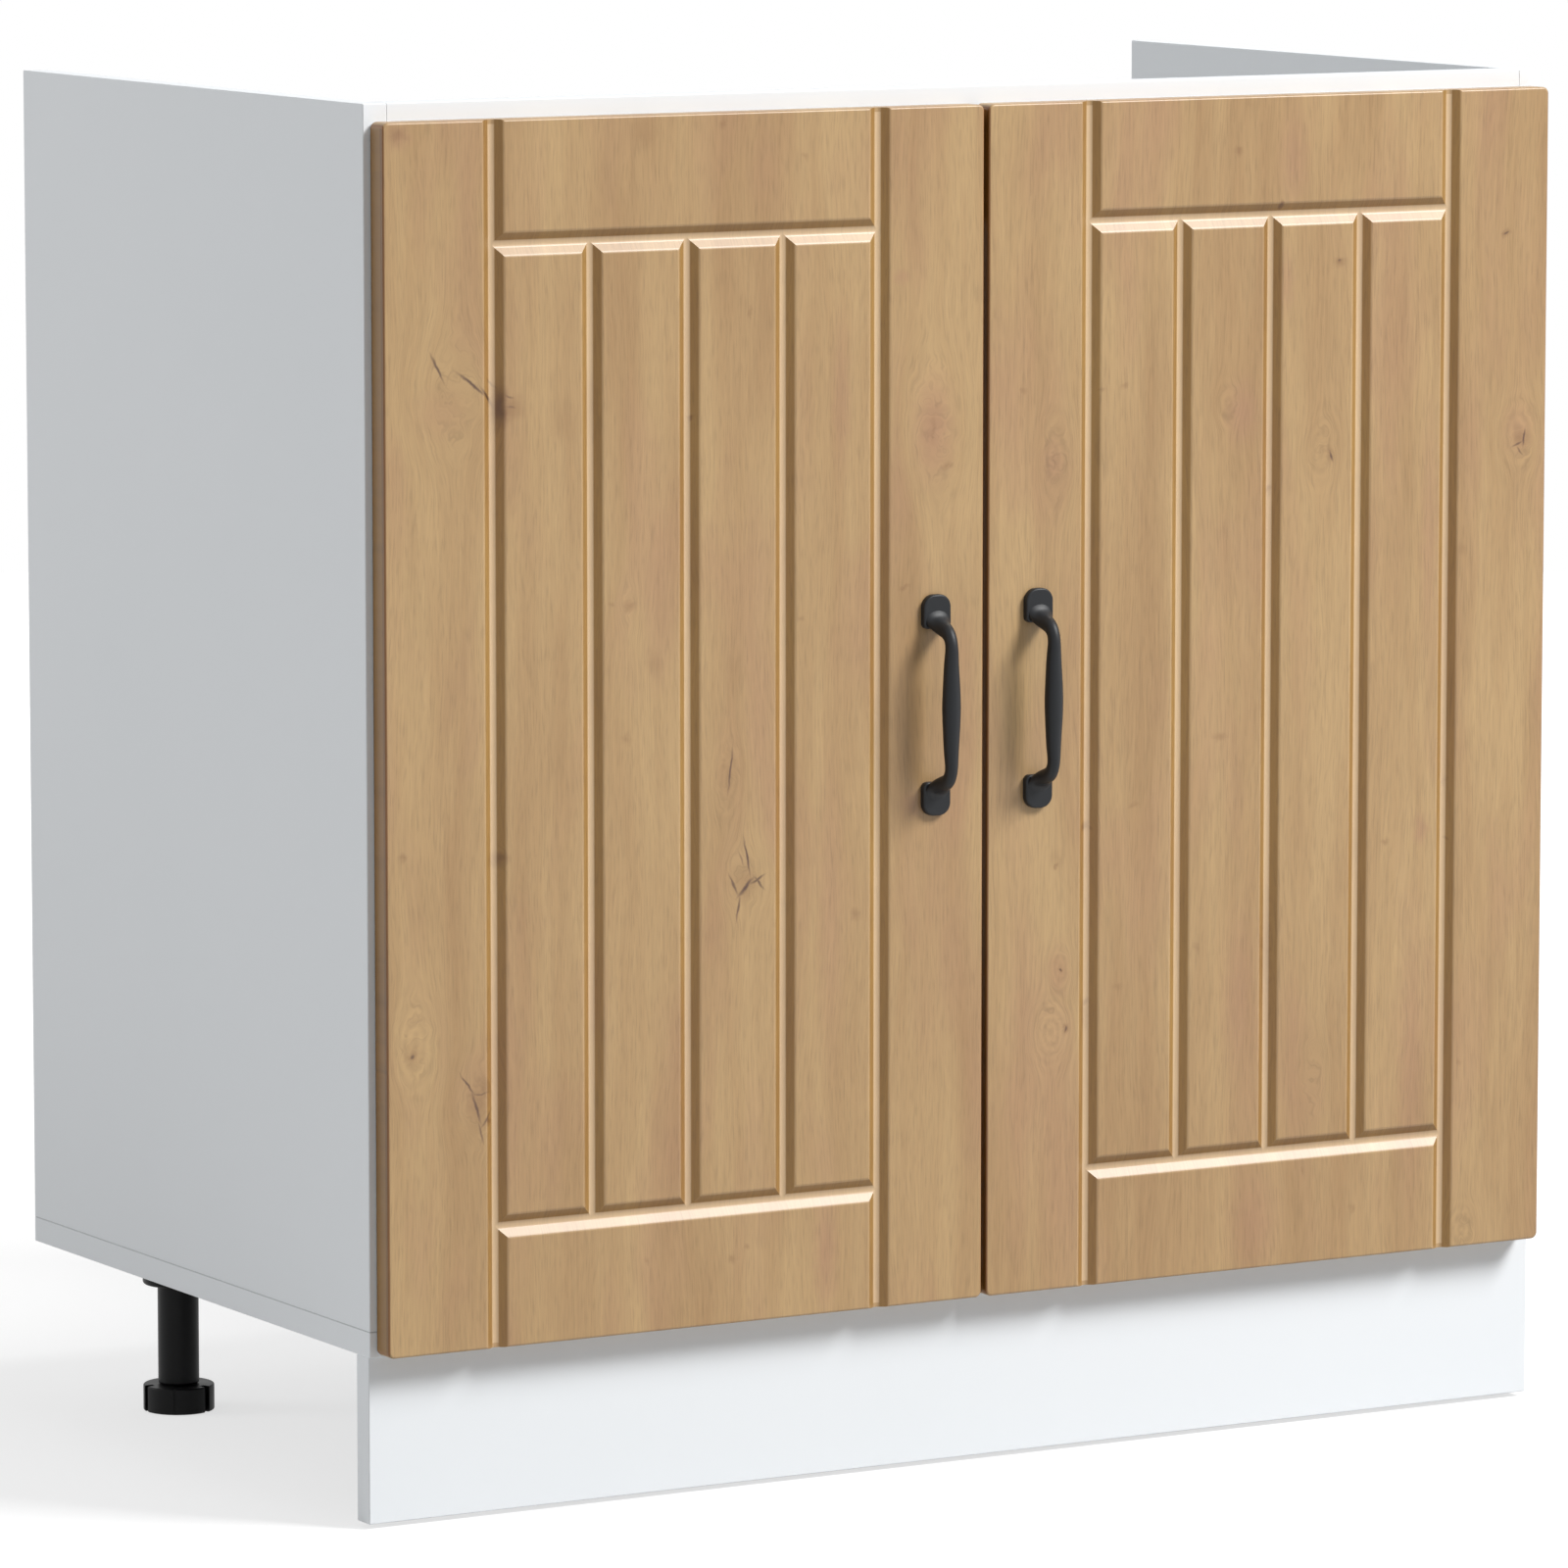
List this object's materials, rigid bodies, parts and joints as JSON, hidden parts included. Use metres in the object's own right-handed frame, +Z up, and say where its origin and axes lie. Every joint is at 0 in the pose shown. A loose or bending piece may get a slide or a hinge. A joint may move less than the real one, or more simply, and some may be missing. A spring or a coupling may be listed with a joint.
{
  "type": "sink base cabinet",
  "caption": "Kitchen base cabinet for a sink, open at the top and back, with two grooved oak-look doors on cup hinges, a plinth and adjustable legs.",
  "frame": {"origin": "on the floor, halfway across the width and halfway through the overall depth with the handles", "axes": "+X to the right as seen from the room, +Y from the doors towards the wall, +Z up"},
  "size_m": [0.8, 0.485, 0.815],
  "materials": {
    "white_board": "white melamine-faced board, matt",
    "dowel_wood": "plain beech",
    "oak_foil": "oak-look foil on board, satin",
    "black_metal": "satin black powder coat",
    "black_plastic": "moulded, matt",
    "hinge_steel": "nickel-plated steel",
    "fitting_steel": "zinc-plated steel",
    "clear_soft_plastic": "translucent soft disc"
  },
  "bodies": {
    "carcass": {"side_left": "white_board", "side_right": "white_board", "bottom_panel": "white_board", "front_rail": "white_board", "rear_rail": "white_board", "plinth_board": "white_board", "carcass_dowels": "dowel_wood", "cam_locks": "fitting_steel", "cam_bolts": "fitting_steel", "bottom_screws": "fitting_steel", "leg_screws": "fitting_steel", "plinth_clip_screws": "fitting_steel", "plinth_clips": "black_plastic", "leg_socket_front_left": "black_plastic", "leg_tube_front_left": "black_plastic", "leg_socket_front_right": "black_plastic", "leg_tube_front_right": "black_plastic", "leg_socket_back_left": "black_plastic", "leg_tube_back_left": "black_plastic", "leg_socket_back_right": "black_plastic", "leg_tube_back_right": "black_plastic", "hinge_plates_left": "hinge_steel", "hinge_plate_screws_left": "fitting_steel", "hinge_arm_pins_left": "fitting_steel", "hinge_arm_left_lower": "hinge_steel", "hinge_arm_left_upper": "hinge_steel", "hinge_plates_right": "hinge_steel", "hinge_plate_screws_right": "fitting_steel", "hinge_arm_pins_right": "fitting_steel", "hinge_arm_right_lower": "hinge_steel", "hinge_arm_right_upper": "hinge_steel"},
    "left_outer_links": {"outer_links_left": "hinge_steel"},
    "left_inner_links": {"inner_links_left": "hinge_steel"},
    "left_door": {"door_left": "oak_foil", "handle_left": "black_metal", "handle_screws_left": "fitting_steel", "door_bumpers_left": "clear_soft_plastic", "hinge_cup_left_lower": "hinge_steel", "hinge_cup_left_upper": "hinge_steel", "hinge_cup_pins_left": "fitting_steel", "hinge_cup_screws_left": "fitting_steel"},
    "right_outer_links": {"outer_links_right": "hinge_steel"},
    "right_inner_links": {"inner_links_right": "hinge_steel"},
    "right_door": {"door_right": "oak_foil", "handle_right": "black_metal", "handle_screws_right": "fitting_steel", "door_bumpers_right": "clear_soft_plastic", "hinge_cup_right_lower": "hinge_steel", "hinge_cup_right_upper": "hinge_steel", "hinge_cup_pins_right": "fitting_steel", "hinge_cup_screws_right": "fitting_steel"},
    "front_left_spindle": {"leg_spindle_front_left": "black_plastic"},
    "front_left_foot": {"leg_foot_front_left": "black_plastic"},
    "front_right_spindle": {"leg_spindle_front_right": "black_plastic"},
    "front_right_foot": {"leg_foot_front_right": "black_plastic"},
    "back_left_spindle": {"leg_spindle_back_left": "black_plastic"},
    "back_left_foot": {"leg_foot_back_left": "black_plastic"},
    "back_right_spindle": {"leg_spindle_back_right": "black_plastic"},
    "back_right_foot": {"leg_foot_back_right": "black_plastic"}
  },
  "joints": [
    {"name": "left_outer_links_turn", "type": "hinge", "parent": "carcass", "child": "left_outer_links", "pos_m": [-0.368, -0.1885, 0.453], "axis": [0, 0, 1], "range_deg": [0, 35.3]},
    {"name": "left_door_swing", "type": "hinge", "parent": "left_outer_links", "child": "left_door", "pos_m": [-0.38863, -0.20386, 0.453], "axis": [0, 0, -1], "range_deg": [0, 130.2]},
    {"name": "left_inner_links_turn", "type": "hinge", "parent": "carcass", "child": "left_inner_links", "pos_m": [-0.37372, -0.2025, 0.453], "axis": [0, 0, 1], "range_deg": [0, 45.9]},
    {"name": "right_outer_links_turn", "type": "hinge", "parent": "carcass", "child": "right_outer_links", "pos_m": [0.368, -0.1885, 0.453], "axis": [0, 0, -1], "range_deg": [0, 35.3]},
    {"name": "right_door_swing", "type": "hinge", "parent": "right_outer_links", "child": "right_door", "pos_m": [0.38863, -0.20386, 0.453], "axis": [0, 0, 1], "range_deg": [0, 130.2]},
    {"name": "right_inner_links_turn", "type": "hinge", "parent": "carcass", "child": "right_inner_links", "pos_m": [0.37372, -0.2025, 0.453], "axis": [0, 0, -1], "range_deg": [0, 45.9]},
    {"name": "front_left_leg_height", "type": "slide", "parent": "carcass", "child": "front_left_spindle", "axis": [0, 0, -1], "range_m": [0, 0.01501]},
    {"name": "front_left_foot_turn", "type": "hinge", "parent": "front_left_spindle", "child": "front_left_foot", "pos_m": [-0.335, -0.1365, 0], "axis": [0, 0, -1], "range_deg": [0, 1800]},
    {"name": "front_right_leg_height", "type": "slide", "parent": "carcass", "child": "front_right_spindle", "axis": [0, 0, -1], "range_m": [0, 0.01501]},
    {"name": "front_right_foot_turn", "type": "hinge", "parent": "front_right_spindle", "child": "front_right_foot", "pos_m": [0.335, -0.1365, 0], "axis": [0, 0, -1], "range_deg": [0, 1800]},
    {"name": "back_left_leg_height", "type": "slide", "parent": "carcass", "child": "back_left_spindle", "axis": [0, 0, -1], "range_m": [0, 0.01501]},
    {"name": "back_left_foot_turn", "type": "hinge", "parent": "back_left_spindle", "child": "back_left_foot", "pos_m": [-0.335, 0.1775, 0], "axis": [0, 0, -1], "range_deg": [0, 1800]},
    {"name": "back_right_leg_height", "type": "slide", "parent": "carcass", "child": "back_right_spindle", "axis": [0, 0, -1], "range_m": [0, 0.01501]},
    {"name": "back_right_foot_turn", "type": "hinge", "parent": "back_right_spindle", "child": "back_right_foot", "pos_m": [0.335, 0.1775, 0], "axis": [0, 0, -1], "range_deg": [0, 1800]}
  ],
  "couplings": [
    {"joint": "left_outer_links_turn", "follows": "left_door_swing", "ratio": 0.27034},
    {"joint": "left_inner_links_turn", "follows": "left_door_swing", "ratio": 0.35122},
    {"joint": "right_outer_links_turn", "follows": "right_door_swing", "ratio": 0.27034},
    {"joint": "right_inner_links_turn", "follows": "right_door_swing", "ratio": 0.35122},
    {"joint": "front_left_leg_height", "follows": "front_left_foot_turn", "m_per_rad": 0.00047746},
    {"joint": "front_right_leg_height", "follows": "front_right_foot_turn", "m_per_rad": 0.00047746},
    {"joint": "back_left_leg_height", "follows": "back_left_foot_turn", "m_per_rad": 0.00047746},
    {"joint": "back_right_leg_height", "follows": "back_right_foot_turn", "m_per_rad": 0.00047746}
  ]
}
